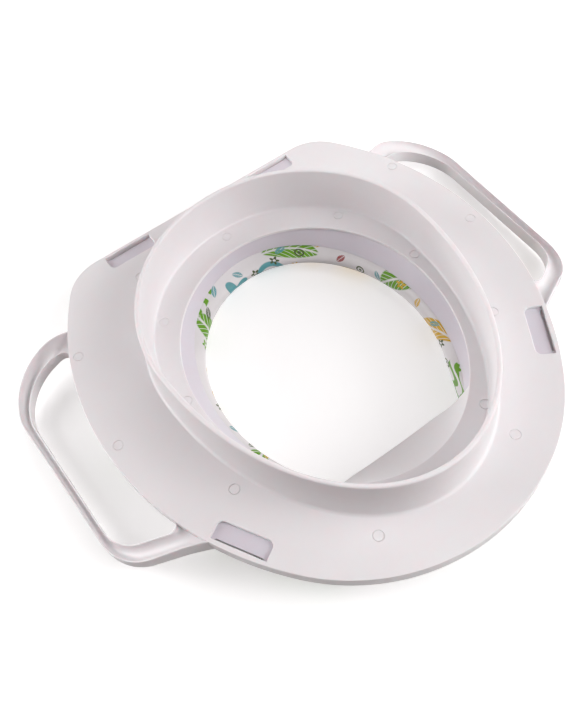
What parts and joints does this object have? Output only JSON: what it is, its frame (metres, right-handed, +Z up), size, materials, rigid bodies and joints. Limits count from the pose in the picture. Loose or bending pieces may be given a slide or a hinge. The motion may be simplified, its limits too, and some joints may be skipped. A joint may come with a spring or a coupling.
{
  "type": "toilet trainer seat",
  "caption": "Padded toilet trainer seat: soft ring cushion on a plastic base with a drop-in oval collar, a splash guard at the front and a loop handle on each side.",
  "frame": {"origin": "below the middle of the seat's outline, level with the rim of the collar", "axes": "+Z up through the cushion, -Y towards the front with the splash guard, +X towards the handle on the child's left"},
  "size_m": [0.377, 0.318, 0.0718],
  "materials": {
    "shell_plastic": "satin",
    "tray_plastic": "satin",
    "cushion_cover": "soft printed film"
  },
  "bodies": {
    "root": {"base": "shell_plastic", "cushion_tray": "tray_plastic", "cushion": "cushion_cover"}
  },
  "joints": []
}
